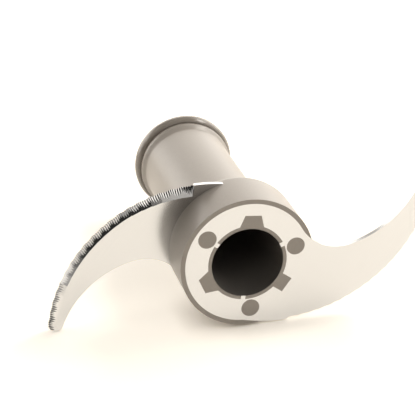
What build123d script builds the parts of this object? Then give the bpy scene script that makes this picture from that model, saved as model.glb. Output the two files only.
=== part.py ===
"""Food processor blade: two curved serrated knives moulded into a hub with a long, capped drive tube.

The frame is the tube's own: +Z runs up the tube, and the origin is the middle of the bore's open
mouth, in the face that the hub stands on. Lengths are millimetres and angles are degrees.
"""

import os
from math import atan2, ceil, cos, degrees, hypot, radians, sin, tan

from build123d import *

os.makedirs("parts", exist_ok=True)

# Hub and tube, one grey moulding
hub_radius = 29.0
hub_height = 26.4
hub_shoulder = 4.0
tube_radius = 20.0
tube_root_flare = 1.6
least_ledge = 0.5
tube_height = 105.6
flange_reach = 1.4
flange_thickness = 2.2
flange_flare = 2.4
bore_radius = 15.55

# Steel plate of both knives: a ring round the bore and one curved arm
plate_thickness = 2.0
ring_border = 2.0
ring_liner = 1.6
upper_plate_cover = 5.2
edge_centre = (40.1, -9.7)
edge_radius = 66.8
edge_stock = 0.6
back_centre = (57.2, 2.4)
root_fillet = 20.0
tip_angle = 59.5
tip_width = 6.3
tip_roundness = 0.45

# Ground edge: a bevel along the arm, cut across by fine flutes whose depth swells into scallops
grind_start_angle = 142.0
grind_start_skew = 11.0
bevel_width = 3.2
start_widening = 1.2
widened_scallops = 6
edge_land = 0.2
scallop_pitch = 4.9
scallop_swell = 0.25
flute_depth = 0.55
flutes_per_scallop = 5
flute_slope = 30.0
flute_share = 0.85

# Openings of the ring that the plastic flows through, and the lugs that centre the ring
rivet_radius = 3.97
rivet_inset = 4.5
rivet_angles = (40.0, 140.0, 270.0)
notch_depth = 4.45
notch_width = 7.1
notch_mouth = 11.0
straight_notch_angle = 90.0
flared_notch_angles = (210.0, 330.0)
lug_width = 2.0
lug_angles = (30.0, 150.0, 270.0)

# Drive socket pressed into its seat above the bore, and the cap with its seal
socket_radius = 12.0
socket_length = 20.0
socket_hole_radius = 7.0
socket_flats = 11.0
socket_headroom = 4.6
spigot_length = 6.0
seal_thickness = 0.5
seal_setback = 0.4
cap_overhang = 0.3
cap_flare = 1.5
cap_lip_height = 2.6
cap_lip_roundness = 0.6
cap_rim_chamfer = 0.9
cap_thickness = 5.0

# How far a cutter runs past the steel that it cuts
cutter_margin = 1.2

# Places that follow from the sizes above
flange_radius = tube_radius + flange_reach
ring_radius = hub_radius - ring_border
ring_hole_radius = bore_radius + ring_liner
rivet_circle = ring_hole_radius + rivet_inset
notch_floor = ring_hole_radius + notch_depth
upper_plate_height = hub_height - upper_plate_cover - plate_thickness
blank_radius = edge_radius + edge_stock
root_angle = degrees(atan2(-edge_centre[1], -edge_centre[0]))
bevel_top = plate_thickness - edge_land
tip_rounding = tip_roundness * tip_width
scallop_angle = degrees(scallop_pitch / edge_radius)
spigot_end = tube_height - spigot_length
bore_depth = spigot_end - socket_headroom - socket_length
cap_neck_radius = flange_radius + cap_overhang
cap_lip_radius = cap_neck_radius + cap_flare
cap_floor = tube_height + seal_thickness
cap_top = cap_floor + cap_thickness


def on_circle(radius, angle, centre=(0, 0)):
    """A point on a circle, for an angle in degrees."""
    return (centre[0] + radius * cos(radians(angle)), centre[1] + radius * sin(radians(angle)))


def plate_outline():
    """The ring with its arm in plan, without openings, before the edge is ground."""
    reach = 2 * blank_radius
    tip_corner = on_circle(blank_radius - tip_width, tip_angle, edge_centre)
    back_radius = hypot(tip_corner[0] - back_centre[0], tip_corner[1] - back_centre[1])
    with BuildSketch() as outline:
        with Locations(edge_centre):
            Circle(blank_radius)
        with Locations(back_centre):
            Circle(back_radius, mode=Mode.SUBTRACT)
        with BuildLine():
            Polyline(
                edge_centre,
                on_circle(reach, tip_angle, edge_centre),
                on_circle(reach, (root_angle + tip_angle) / 2, edge_centre),
                on_circle(reach, root_angle, edge_centre),
                close=True,
            )
        make_face(mode=Mode.INTERSECT)
        Circle(ring_radius)
        # the arm's back runs into the ring in a wide hollow curve, and its tip is blunted
        ring_corners = outline.vertices().filter_by(lambda v: hypot(v.X, v.Y) < ring_radius + ring_border)
        fillet(ring_corners.sort_by(Axis.X)[-1], root_fillet)
        fillet(outline.vertices().sort_by(Axis.X)[-2:], tip_rounding)
    return outline.sketch


def ring_openings():
    """The bore of the ring with its notches, less its lugs, and the three round holes."""
    with BuildSketch() as openings:
        Circle(ring_hole_radius)
        for angle in (straight_notch_angle, *flared_notch_angles):
            mouth = notch_width if angle == straight_notch_angle else notch_mouth
            with BuildLine(Plane.XY.rotated((0, 0, angle))):
                Polyline(
                    (bore_radius, -mouth / 2),
                    (notch_floor, -notch_width / 2),
                    (notch_floor, notch_width / 2),
                    (bore_radius, mouth / 2),
                    close=True,
                )
            make_face()
        for angle in lug_angles:
            with Locations(Location(on_circle(ring_hole_radius, angle), angle)):
                Rectangle(2 * ring_liner, lug_width, mode=Mode.SUBTRACT)
        Circle(bore_radius)
        for angle in rivet_angles:
            with Locations(on_circle(rivet_circle, angle)):
                Circle(rivet_radius)
    return openings.sketch


def grind_plane(angle):
    """A plane that stands on the plate along a radius of the edge, with its Y pointing up."""
    radial = on_circle(1, angle) + (0,)
    tangent = on_circle(1, angle + 90) + (0,)
    return Plane(origin=edge_centre + (0,), x_dir=radial, z_dir=(-tangent[0], -tangent[1], 0))


def flute_plane(angle, width):
    """Where the wheel for one scallop sets in: its Z runs out along the flutes, its Y leaves the steel."""
    section = grind_plane(angle)
    slope = atan2(bevel_top, width)
    edge = Vector(edge_radius, bevel_top)
    inner_end = edge - Vector(width, bevel_top) * flute_share
    outer_end = edge + Vector(-sin(slope), cos(slope)) * flute_depth
    along = (outer_end - inner_end).normalized()
    start = section.from_local_coords(inner_end - along * cutter_margin)
    heading = section.from_local_coords(inner_end + along) - section.from_local_coords(inner_end)
    return Plane(origin=start, x_dir=section.z_dir, z_dir=heading)


def flute_profile():
    """Section of the wheel that grinds one scallop: a row of vees that lie deepest in its middle."""
    pitch = scallop_pitch / flutes_per_scallop
    steepness = tan(radians(flute_slope))
    vees = []
    for index in range(flutes_per_scallop):
        place = 2 * (index + 0.5) / flutes_per_scallop - 1
        vees.append((place * scallop_pitch / 2, scallop_swell * place**2))
    points = [(vees[0][0] - (cutter_margin - vees[0][1]) / steepness, cutter_margin)]
    for (x, y), (next_x, next_y) in zip(vees, vees[1:]):
        ridge_x = (x + next_x) / 2 + (next_y - y) / 2 / steepness
        ridge_y = (y + next_y) / 2 + pitch / 2 * steepness
        points += [(x, y), (ridge_x, ridge_y)]
    points.append(vees[-1])
    points.append((vees[-1][0] + (cutter_margin - vees[-1][1]) / steepness, cutter_margin))
    return points


def grinding():
    """All that the wheels take off: the bevel, one flat for each scallop, and the flutes across it."""
    scallop_count = ceil((grind_start_angle - tip_angle) / scallop_angle)
    outer_radius = blank_radius + cutter_margin
    outer_height = plate_thickness + cutter_margin
    with BuildPart() as cut:
        for index in range(scallop_count):
            angle = grind_start_angle - (index + 0.5) * scallop_angle
            width = bevel_width + start_widening * max(0, 1 - index / widened_scallops)
            with BuildSketch(grind_plane(angle)):
                with BuildLine():
                    Polyline(
                        (edge_radius - width, 0),
                        (edge_radius, bevel_top),
                        (edge_radius, outer_height),
                        (outer_radius, outer_height),
                        (outer_radius, -cutter_margin),
                        (edge_radius - width, -cutter_margin),
                        close=True,
                    )
                make_face()
            extrude(amount=outer_radius * tan(radians(scallop_angle / 2)), both=True)
            with BuildSketch(flute_plane(angle, width)):
                with BuildLine():
                    Polyline(*flute_profile(), close=True)
                make_face()
            extrude(amount=flute_share * hypot(width, bevel_top) + 2 * cutter_margin)
        # the bevel stops short of the hub at a wall that leans towards the tip
        wall_foot = on_circle(blank_radius, grind_start_angle, edge_centre)
        wall_facing = on_circle(1, grind_start_angle - 90 + grind_start_skew)
        split(bisect_by=Plane(origin=wall_foot + (0,), z_dir=wall_facing + (0,)), keep=Keep.TOP)
    return cut.part


def ground_plate():
    """One knife on the ground plane, with its bevel on the underside."""
    with BuildPart() as plate:
        add(plate_outline())
        extrude(amount=plate_thickness)
        add(grinding(), mode=Mode.SUBTRACT)
        add(ring_openings())
        extrude(amount=plate_thickness, mode=Mode.SUBTRACT)
    return plate.part


def hub_section():
    """Half section of the moulding: hub, rounded shoulder, tube and flared flange, round a stepped bore."""
    flange_floor = tube_height - flange_thickness
    ledge = hub_radius - tube_radius - tube_root_flare
    with BuildSketch(Plane.XZ) as section:
        with BuildLine():
            Polyline(
                (bore_radius, 0),
                (hub_radius, 0),
                (hub_radius, hub_height),
                (tube_radius + tube_root_flare, hub_height),
                (tube_radius, hub_height + tube_root_flare),
                (tube_radius, flange_floor - flange_flare),
                (flange_radius, flange_floor),
                (flange_radius, tube_height),
                (socket_radius, tube_height),
                (socket_radius, bore_depth),
                (bore_radius, bore_depth),
                close=True,
            )
        make_face()
        shoulder = section.vertices().sort_by_distance((hub_radius, hub_height))[0]
        fillet(shoulder, min(hub_shoulder, ledge - least_ledge))
    return section.sketch


knife = ground_plate()

with BuildPart() as lower_blade:
    # flush with the hub's face, so its bevel is on the top
    mirror(knife, about=Plane.XY.offset(plate_thickness / 2))

with BuildPart() as upper_blade:
    # half a turn round and higher up, with its bevel on the underside
    with Locations(Location((0, 0, upper_plate_height), (0, 0, 180))):
        add(knife)

with BuildPart() as hub_and_tube:
    # the plastic is moulded round the rings and stands in their holes and notches
    add(hub_section())
    revolve(axis=Axis.Z)
    add(lower_blade.part, mode=Mode.SUBTRACT)
    add(upper_blade.part, mode=Mode.SUBTRACT)

with BuildPart() as drive_socket:
    # steel bush pressed in flush with the step of the bore, with two flats in its hole for the shaft
    with BuildSketch(Plane.XY.offset(bore_depth)):
        Circle(socket_radius)
    extrude(amount=socket_length)
    with BuildSketch(Plane.XY.offset(bore_depth)):
        Circle(socket_hole_radius)
        Rectangle(2 * socket_hole_radius, socket_flats, mode=Mode.INTERSECT)
    extrude(amount=socket_length, mode=Mode.SUBTRACT)

with BuildPart() as cap_seal:
    # thin rubber washer, set back a little from the flange's rim
    with BuildSketch(Plane.XY.offset(tube_height)):
        Circle(flange_radius - seal_setback)
        Circle(socket_radius, mode=Mode.SUBTRACT)
    extrude(amount=seal_thickness)

with BuildPart() as end_cap:
    # plug with a flared head that closes the tube
    lip_level = cap_floor + cap_lip_height
    lip_turn_radius = cap_neck_radius + cap_flare * cap_lip_roundness
    lip_turn_level = cap_floor + cap_lip_height * (1 - cap_lip_roundness)
    with BuildSketch(Plane.XZ) as head:
        with BuildLine():
            Polyline(
                (0, spigot_end),
                (socket_radius, spigot_end),
                (socket_radius, cap_floor),
                (cap_neck_radius, cap_floor),
                (lip_turn_radius, lip_turn_level),
                (cap_lip_radius, lip_level),
                (cap_lip_radius, cap_top),
                (0, cap_top),
                close=True,
            )
        make_face()
        rim = head.vertices().sort_by_distance((cap_lip_radius, cap_top))[0]
        chamfer(rim, cap_rim_chamfer)
    revolve(axis=Axis.Z)

hub_and_tube.part.label = "hub_and_tube"
export_step(hub_and_tube.part, "parts/hub_and_tube.step")
lower_blade.part.label = "lower_blade"
export_step(lower_blade.part, "parts/lower_blade.step")
upper_blade.part.label = "upper_blade"
export_step(upper_blade.part, "parts/upper_blade.step")
drive_socket.part.label = "drive_socket"
export_step(drive_socket.part, "parts/drive_socket.step")
cap_seal.part.label = "cap_seal"
export_step(cap_seal.part, "parts/cap_seal.step")
end_cap.part.label = "end_cap"
export_step(end_cap.part, "parts/end_cap.step")
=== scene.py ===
from math import cos, radians, sin

import bpy
from mathutils import Matrix, Quaternion, Vector

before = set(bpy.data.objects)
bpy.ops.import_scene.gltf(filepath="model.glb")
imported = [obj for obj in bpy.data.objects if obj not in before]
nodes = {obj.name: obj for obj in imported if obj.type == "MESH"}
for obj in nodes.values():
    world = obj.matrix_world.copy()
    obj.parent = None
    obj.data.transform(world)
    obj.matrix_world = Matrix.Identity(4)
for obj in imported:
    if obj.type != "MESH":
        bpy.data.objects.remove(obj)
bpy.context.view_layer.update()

# The two knives are alike: a ring with one curved arm, stamped from 2 mm stainless sheet.
# The arm's outer edge is ground to a bevel and fluted in scallops, and the hub is moulded
# round both rings.


def linear(colour):
    """An sRGB hex colour as linear RGBA."""
    channels = [int(colour[start:start + 2], 16) / 255 for start in (1, 3, 5)]
    return [c / 12.92 if c <= 0.04045 else ((c + 0.055) / 1.055) ** 2.4 for c in channels] + [1.0]


def add_node(tree, kind, values=None, links=None, **settings):
    """Adds a shader node with its settings, its input values and its links from other outputs."""
    node = tree.nodes.new(kind)
    for name, value in settings.items():
        setattr(node, name, value)
    for name, value in (values or {}).items():
        node.inputs[name].default_value = value
    for name, output in (links or {}).items():
        tree.links.new(output, node.inputs[name])
    return node


def new_material(name):
    """A material with an empty node tree, and that tree."""
    material = bpy.data.materials.new(name)
    material.use_nodes = True
    material.node_tree.nodes.clear()
    return material, material.node_tree


def dress(node_name, material):
    """Gives a piece its finish, in place of the plain one that it comes with."""
    finishes = nodes[node_name].data.materials
    finishes.clear()
    finishes.append(material)


# Ground stainless steel: the flat faces have an even satin that mirrors the table in a blur,
# and the ground edge is smoother, so its flutes flash light and dark.
steel_tone = "#D0D0D0"
steel_tone_dark = "#C6C6C6"
satin_roughness = 0.18
satin_roughness_high = 0.24
edge_roughness = 0.12
# the real grit is about 0.05 mm, too fine to show, so it is drawn as 0.5 mm streaks
streak_length = 0.012
streak_width = 0.0005
streak_angle = radians(35)
streak_depth = 0.0001
streak_relief = 0.05
# the sheet's faces look straight up and down the tube, and the ground edge looks aside
flat_face_z = 0.99

ground_stainless, tree = new_material("ground_stainless_steel")
place = add_node(tree, "ShaderNodeTexCoord")
stretched = add_node(
    tree,
    "ShaderNodeMapping",
    values={
        "Rotation": (0, 0, streak_angle),
        "Scale": (1 / streak_length, 1 / streak_width, 1),
    },
    links={"Vector": place.outputs["Object"]},
)
streaks = add_node(
    tree,
    "ShaderNodeTexNoise",
    values={"Scale": 1.0, "Detail": 3.0, "Roughness": 0.6},
    links={"Vector": stretched.outputs["Vector"]},
)
tone = add_node(
    tree,
    "ShaderNodeMix",
    values={"A": linear(steel_tone_dark), "B": linear(steel_tone)},
    links={"Factor": streaks.outputs["Fac"]},
    data_type="RGBA",
)
satin = add_node(
    tree,
    "ShaderNodeMapRange",
    values={"To Min": satin_roughness, "To Max": satin_roughness_high},
    links={"Value": streaks.outputs["Fac"]},
)
facing = add_node(tree, "ShaderNodeSeparateXYZ", links={"Vector": place.outputs["Normal"]})
flatness = add_node(tree, "ShaderNodeMath", links={0: facing.outputs["Z"]}, operation="ABSOLUTE")
on_edge = add_node(
    tree,
    "ShaderNodeMath",
    values={1: flat_face_z},
    links={0: flatness.outputs["Value"]},
    operation="LESS_THAN",
)
sheen = add_node(
    tree,
    "ShaderNodeMix",
    values={"B": edge_roughness},
    links={"Factor": on_edge.outputs["Value"], "A": satin.outputs["Result"]},
)
grain = add_node(
    tree,
    "ShaderNodeBump",
    values={"Strength": streak_relief, "Distance": streak_depth},
    links={"Height": streaks.outputs["Fac"]},
)
steel = add_node(
    tree,
    "ShaderNodeBsdfPrincipled",
    values={"Metallic": 1.0},
    links={
        "Base Color": tone.outputs["Result"],
        "Roughness": sheen.outputs["Result"],
        "Normal": grain.outputs["Normal"],
    },
)
add_node(tree, "ShaderNodeOutputMaterial", links={"Surface": steel.outputs["BSDF"]})

dress("lower_blade", ground_stainless)
dress("upper_blade", ground_stainless)

# The hub and its tube are one moulding in grey filled plastic, cast round both rings.
# It fills the lower ring's round holes and notches flush with the steel, and the tube ends in
# a flange that carries the seal and the cap.

# Moulded plastic: it leaves the mould satin with a faint mottle, and shines at a glancing angle.
plastic_tone = "#A19A92"
plastic_tone_dark = "#9A938C"
# the filler clouds the colour in patches of about 1.2 mm
plastic_mottle = 0.0012
mottle_depth = 0.0001
mottle_relief = 0.08
plastic_ior = 1.52
moulded_roughness = 0.36
# the bore's wall, all that lies within this radius, is painted darker as shade, since little
# light reaches into the deep bore
bore_shade_tone = "#6B6763"
bore_wall_radius = 0.0157
# the flange is polished as the cap is, and is painted darker than the tube as shade, a shaded
# copy of the same plastic
polished_shaded_tone = "#857D74"
polished_roughness = 0.16
flange_foot = 0.1034
# edges are soft on the flange and the cap, and crisp round the lower knife's ring
edge_softness = 0.002
edge_samples = 8
soft_from_height = 0.03

moulded_plastic, tree = new_material("moulded_grey_plastic")
place = add_node(tree, "ShaderNodeTexCoord")
mottle = add_node(
    tree,
    "ShaderNodeTexNoise",
    values={"Scale": 1 / plastic_mottle, "Detail": 3.0, "Roughness": 0.55},
    links={"Vector": place.outputs["Object"]},
)
tone = add_node(
    tree,
    "ShaderNodeMix",
    values={"A": linear(plastic_tone_dark), "B": linear(plastic_tone)},
    links={"Factor": mottle.outputs["Fac"]},
    data_type="RGBA",
)
position = add_node(tree, "ShaderNodeSeparateXYZ", links={"Vector": place.outputs["Object"]})
above_hub = add_node(
    tree,
    "ShaderNodeMath",
    values={1: soft_from_height},
    links={0: position.outputs["Z"]},
    operation="GREATER_THAN",
)
softness = add_node(
    tree,
    "ShaderNodeMath",
    values={1: edge_softness},
    links={0: above_hub.outputs["Value"]},
    operation="MULTIPLY",
)
soft_edges = add_node(
    tree,
    "ShaderNodeBevel",
    links={"Radius": softness.outputs["Value"]},
    samples=edge_samples,
)
across_tube = add_node(
    tree,
    "ShaderNodeCombineXYZ",
    links={"X": position.outputs["X"], "Y": position.outputs["Y"]},
)
radius = add_node(
    tree,
    "ShaderNodeVectorMath",
    links={0: across_tube.outputs["Vector"]},
    operation="LENGTH",
)
# inside the bore the plastic is painted darker, as shade
in_bore = add_node(
    tree,
    "ShaderNodeMath",
    values={1: bore_wall_radius},
    links={0: radius.outputs["Value"]},
    operation="LESS_THAN",
)
bore_shaded_tone = add_node(
    tree,
    "ShaderNodeMix",
    values={"B": linear(bore_shade_tone)},
    links={"Factor": in_bore.outputs["Value"], "A": tone.outputs["Result"]},
    data_type="RGBA",
)
# above the flange's foot the plastic is painted darker as shade, and is glossier
on_flange = add_node(
    tree,
    "ShaderNodeMath",
    values={1: flange_foot},
    links={0: position.outputs["Z"]},
    operation="GREATER_THAN",
)
all_tones = add_node(
    tree,
    "ShaderNodeMix",
    values={"B": linear(polished_shaded_tone)},
    links={"Factor": on_flange.outputs["Value"], "A": bore_shaded_tone.outputs["Result"]},
    data_type="RGBA",
)
gloss = add_node(
    tree,
    "ShaderNodeMapRange",
    values={"To Min": moulded_roughness, "To Max": polished_roughness},
    links={"Value": on_flange.outputs["Value"]},
)
skin = add_node(
    tree,
    "ShaderNodeBump",
    values={"Strength": mottle_relief, "Distance": mottle_depth},
    links={"Height": mottle.outputs["Fac"], "Normal": soft_edges.outputs["Normal"]},
)
plastic = add_node(
    tree,
    "ShaderNodeBsdfPrincipled",
    values={"IOR": plastic_ior},
    links={
        "Base Color": all_tones.outputs["Result"],
        "Roughness": gloss.outputs["Result"],
        "Normal": skin.outputs["Normal"],
    },
)
add_node(tree, "ShaderNodeOutputMaterial", links={"Surface": plastic.outputs["BSDF"]})

dress("hub_and_tube", moulded_plastic)

# The drive socket is a bush turned from steel bar, with two flats that take the motor shaft.
# It is pressed into its seat above the bore, out of sight.

# Turned steel: it has fine rings round its axis, and is darker than the knives.
socket_tone = "#9A9894"
socket_roughness = 0.35
# the tool's feed leaves a groove at each 0.4 mm
turning_pitch = 0.0004
turning_depth = 0.00005
turning_relief = 0.1
# a wave texture of scale 1 has its rings this far apart
wave_pitch = 0.314

turned_steel, tree = new_material("turned_steel")
place = add_node(tree, "ShaderNodeTexCoord")
rings = add_node(
    tree,
    "ShaderNodeTexWave",
    values={"Scale": wave_pitch / turning_pitch, "Distortion": 0.4, "Detail": 1.0},
    links={"Vector": place.outputs["Object"]},
    wave_type="RINGS",
    rings_direction="Z",
)
groove = add_node(
    tree,
    "ShaderNodeBump",
    values={"Strength": turning_relief, "Distance": turning_depth},
    links={"Height": rings.outputs["Fac"]},
)
bush = add_node(
    tree,
    "ShaderNodeBsdfPrincipled",
    values={
        "Base Color": linear(socket_tone),
        "Metallic": 1.0,
        "Roughness": socket_roughness,
    },
    links={"Normal": groove.outputs["Normal"]},
)
add_node(tree, "ShaderNodeOutputMaterial", links={"Surface": bush.outputs["BSDF"]})

dress("drive_socket", turned_steel)

# The seal is a thin washer cut from dark rubber sheet.
# It is nipped between the tube's flange and the cap.

# Sheet rubber: matt and nearly black, so it shows as a dark line.
rubber_tone = "#3A3633"
# the sheet's grain is about 0.1 mm, too fine to show, so it is drawn as 0.6 mm
rubber_grain = 0.0006
rubber_roughness = 0.62
rubber_roughness_high = 0.8
rubber_ior = 1.52

sheet_rubber, tree = new_material("sheet_rubber")
place = add_node(tree, "ShaderNodeTexCoord")
specks = add_node(
    tree,
    "ShaderNodeTexNoise",
    values={"Scale": 1 / rubber_grain, "Detail": 2.0},
    links={"Vector": place.outputs["Object"]},
)
matt = add_node(
    tree,
    "ShaderNodeMapRange",
    values={"To Min": rubber_roughness, "To Max": rubber_roughness_high},
    links={"Value": specks.outputs["Fac"]},
)
rubber = add_node(
    tree,
    "ShaderNodeBsdfPrincipled",
    values={"Base Color": linear(rubber_tone), "IOR": rubber_ior},
    links={"Roughness": matt.outputs["Result"]},
)
add_node(tree, "ShaderNodeOutputMaterial", links={"Surface": rubber.outputs["BSDF"]})

dress("cap_seal", sheet_rubber)

# The end cap is moulded by itself in the same grey plastic.
# Its spigot plugs the tube's end, and its rounded lip stands out over the flange.

# Polished plastic: the cap's mould is polished, so the lip carries sharper lights. The lip is
# also painted darker than the hub, as shade.
polished_shaded_tone_dark = "#7D766D"

polished_plastic, tree = new_material("polished_grey_plastic")
place = add_node(tree, "ShaderNodeTexCoord")
mottle = add_node(
    tree,
    "ShaderNodeTexNoise",
    values={"Scale": 1 / plastic_mottle, "Detail": 2.0},
    links={"Vector": place.outputs["Object"]},
)
# the cap's tones are painted darker than the hub's, as shade
tone = add_node(
    tree,
    "ShaderNodeMix",
    values={"A": linear(polished_shaded_tone_dark), "B": linear(polished_shaded_tone)},
    links={"Factor": mottle.outputs["Fac"]},
    data_type="RGBA",
)
soft_edges = add_node(
    tree,
    "ShaderNodeBevel",
    values={"Radius": edge_softness},
    samples=edge_samples,
)
polished = add_node(
    tree,
    "ShaderNodeBsdfPrincipled",
    values={"Roughness": polished_roughness, "IOR": plastic_ior},
    links={"Base Color": tone.outputs["Result"], "Normal": soft_edges.outputs["Normal"]},
)
add_node(tree, "ShaderNodeOutputMaterial", links={"Surface": polished.outputs["BSDF"]})

dress("end_cap", polished_plastic)

# The table is a flat board in white lacquer, and the blade lies on it on its side. In the
# blade's own upright frame the table stands beside it and touches the hub, the cap and the
# upper knife's tip. It is seen from the blade's side only.

table_normal = Vector((0.7844, -0.6168, -0.0659)).normalized()
table_distance = -0.03042
table_size = 8.0
# White lacquer: a warm white that the lamps light, with a glow that stands for the light of
# a white room. The camera sees that glow, and gloss mirrors it a little brighter.
table_tone = "#F6F0E6"
seen_glow = 0.51
mirrored_glow = 0.68
# close to the blade the room's light doesn't reach the table
shade_reach = 0.013
shade_samples = 6

white_table, tree = new_material("white_table")
light_path = add_node(tree, "ShaderNodeLightPath")
side = add_node(tree, "ShaderNodeNewGeometry")
seen = add_node(
    tree,
    "ShaderNodeMath",
    values={1: seen_glow},
    links={0: light_path.outputs["Is Camera Ray"]},
    operation="MULTIPLY",
)
open_sky = add_node(
    tree,
    "ShaderNodeAmbientOcclusion",
    values={"Distance": shade_reach},
    samples=shade_samples,
)
seen_shaded = add_node(
    tree,
    "ShaderNodeMath",
    links={0: seen.outputs["Value"], 1: open_sky.outputs["AO"]},
    operation="MULTIPLY",
)
mirrored = add_node(
    tree,
    "ShaderNodeMath",
    links={
        0: light_path.outputs["Is Glossy Ray"],
        1: light_path.outputs["Is Transmission Ray"],
    },
    operation="MAXIMUM",
)
glow_level = add_node(
    tree,
    "ShaderNodeMath",
    values={1: mirrored_glow},
    links={0: mirrored.outputs["Value"], 2: seen_shaded.outputs["Value"]},
    operation="MULTIPLY_ADD",
)
lacquer = add_node(tree, "ShaderNodeBsdfDiffuse", values={"Color": linear(table_tone)})
glow = add_node(
    tree,
    "ShaderNodeEmission",
    values={"Color": linear(table_tone)},
    links={"Strength": glow_level.outputs["Value"]},
)
lit = add_node(
    tree,
    "ShaderNodeAddShader",
    links={0: lacquer.outputs["BSDF"], 1: glow.outputs["Emission"]},
)
clear = add_node(tree, "ShaderNodeBsdfTransparent")
one_sided = add_node(
    tree,
    "ShaderNodeMixShader",
    links={
        "Fac": side.outputs["Backfacing"],
        1: lit.outputs["Shader"],
        2: clear.outputs["BSDF"],
    },
)
add_node(tree, "ShaderNodeOutputMaterial", links={"Surface": one_sided.outputs["Shader"]})

half = table_size / 2
corners = [(-half, -half, 0), (half, -half, 0), (half, half, 0), (-half, half, 0)]
table_mesh = bpy.data.meshes.new("table")
table_mesh.from_pydata(corners, [], [(0, 1, 2, 3)])
table = bpy.data.objects.new("table", table_mesh)
bpy.context.scene.collection.objects.link(table)
table.location = table_normal * table_distance
table.rotation_euler = table_normal.to_track_quat("Z", "Y").to_euler()
table.data.materials.append(white_table)

# The camera looks from in front of the hub, a little above the table, as the photograph does.
# Its place and its focal length were solved from the ellipses of the hub, the ring and the cap.

picture_width = 415
focal_pixels = 1700
view_point = Vector((0.00879, -0.02344, 0.01387))
view_distance = 0.71255
view_azimuth = radians(24.68)
view_elevation = radians(-60.94)
view_roll = radians(-32.41)
sensor_width = 36
nearest_seen = 0.01

camera = bpy.data.objects.new("camera", bpy.data.cameras.new("camera"))
bpy.context.scene.collection.objects.link(camera)
camera.data.sensor_width = sensor_width
camera.data.lens = sensor_width * focal_pixels / picture_width
camera.data.clip_start = nearest_seen
towards_camera = Vector((
    sin(view_azimuth) * cos(view_elevation),
    -cos(view_azimuth) * cos(view_elevation),
    sin(view_elevation),
))
camera.location = view_point + towards_camera * view_distance
upright = towards_camera.to_track_quat("Z", "Y")
camera.rotation_euler = (upright @ Quaternion((0, 0, 1), view_roll)).to_euler()
bpy.context.scene.camera = camera

# The studio has a long low panel behind the blade and softboxes round it, high and low.
# The dark room just above the panel is mirrored as the dark line on the lower knife's back.
# The camera sees a white background.

lamp_tone = "#FFFAF3"
lamp_distance = 1.0
towards_front = towards_camera - table_normal * towards_camera.dot(table_normal)
towards_front.normalize()
towards_right = table_normal.cross(towards_front)


def softbox(name, bearing, rise, width, height, watts):
    """A lamp panel that faces the blade: bearing 0 is in front of it, 90 right, 180 behind."""
    level = towards_front * cos(radians(bearing)) + towards_right * sin(radians(bearing))
    direction = level * cos(radians(rise)) + table_normal * sin(radians(rise))
    across = table_normal.cross(direction).normalized()
    upwards = direction.cross(across)
    lamp = bpy.data.objects.new(name, bpy.data.lights.new(name, "AREA"))
    lamp.data.shape = "RECTANGLE"
    lamp.data.size = width
    lamp.data.size_y = height
    lamp.data.energy = watts
    lamp.data.color = linear(lamp_tone)[:3]
    lamp.location = view_point + direction * lamp_distance
    lamp.rotation_euler = Matrix((across, upwards, direction)).transposed().to_euler()
    bpy.context.scene.collection.objects.link(lamp)


softbox("back_panel", bearing=175, rise=10.6, width=2.4, height=0.68, watts=12.6)
softbox("back_right_softbox", bearing=135, rise=30, width=0.7, height=0.7, watts=2.2)
softbox("back_right_lamp", bearing=124, rise=42, width=0.4, height=0.2, watts=4.6)
softbox("right_softbox", bearing=85, rise=28, width=0.9, height=0.8, watts=3.6)
softbox("front_right_softbox", bearing=40, rise=38, width=0.9, height=0.7, watts=1.3)
softbox("front_softbox", bearing=0, rise=54, width=0.7, height=0.5, watts=1.2)
softbox("low_left_softbox", bearing=242, rise=12, width=0.7, height=0.7, watts=6.0)
softbox("high_left_softbox", bearing=265, rise=40, width=0.7, height=0.7, watts=1.5)

# gloss mirrors a pale ceiling and a pale strip along the horizon, and the rest is near black
room_level = 0.03
ceiling_rise = radians(80)
ceiling_edge = 0.55
mirrored_ceiling = 0.8
horizon_fade = radians(14)
mirrored_horizon = 0.6
ceiling_middle = table_normal * sin(ceiling_rise) - towards_front * cos(ceiling_rise)

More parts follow.
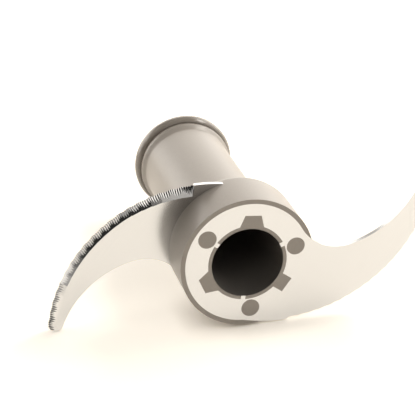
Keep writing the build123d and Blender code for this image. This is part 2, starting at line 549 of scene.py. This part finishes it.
world = bpy.data.worlds.new("studio")
world.use_nodes = True
tree = world.node_tree
tree.nodes.clear()
light_path = add_node(tree, "ShaderNodeLightPath")
ray = add_node(tree, "ShaderNodeTexCoord")
near_ceiling = add_node(
    tree,
    "ShaderNodeVectorMath",
    values={1: ceiling_middle},
    links={0: ray.outputs["Generated"]},
    operation="DOT_PRODUCT",
)
ceiling_level = add_node(
    tree,
    "ShaderNodeMapRange",
    values={
        "From Min": ceiling_edge,
        "From Max": 1.0,
        "To Min": 0.0,
        "To Max": mirrored_ceiling,
    },
    links={"Value": near_ceiling.outputs["Value"]},
)
above_table = add_node(
    tree,
    "ShaderNodeVectorMath",
    values={1: table_normal},
    links={0: ray.outputs["Generated"]},
    operation="DOT_PRODUCT",
)
horizon_level = add_node(
    tree,
    "ShaderNodeMapRange",
    values={
        "From Min": 0.0,
        "From Max": sin(horizon_fade),
        "To Min": mirrored_horizon,
        "To Max": 0.0,
    },
    links={"Value": above_table.outputs["Value"]},
)
mirrored_level = add_node(
    tree,
    "ShaderNodeMath",
    links={0: ceiling_level.outputs["Result"], 1: horizon_level.outputs["Result"]},
    operation="MAXIMUM",
)
mirrored = add_node(
    tree,
    "ShaderNodeMath",
    links={
        0: light_path.outputs["Is Glossy Ray"],
        1: light_path.outputs["Is Transmission Ray"],
    },
    operation="MAXIMUM",
)
room_strength = add_node(
    tree,
    "ShaderNodeMath",
    values={2: room_level},
    links={0: mirrored_level.outputs["Value"], 1: mirrored.outputs["Value"]},
    operation="MULTIPLY_ADD",
)
room = add_node(
    tree,
    "ShaderNodeBackground",
    values={"Color": linear(lamp_tone)},
    links={"Strength": room_strength.outputs["Value"]},
)
white = add_node(
    tree,
    "ShaderNodeBackground",
    values={"Color": (1, 1, 1, 1), "Strength": 1.0},
)
surroundings = add_node(
    tree,
    "ShaderNodeMixShader",
    links={
        "Fac": light_path.outputs["Is Camera Ray"],
        1: room.outputs["Background"],
        2: white.outputs["Background"],
    },
)
add_node(tree, "ShaderNodeOutputWorld", links={"Surface": surroundings.outputs["Shader"]})
bpy.context.scene.world = world

bpy.context.scene.view_settings.view_transform = "Standard"
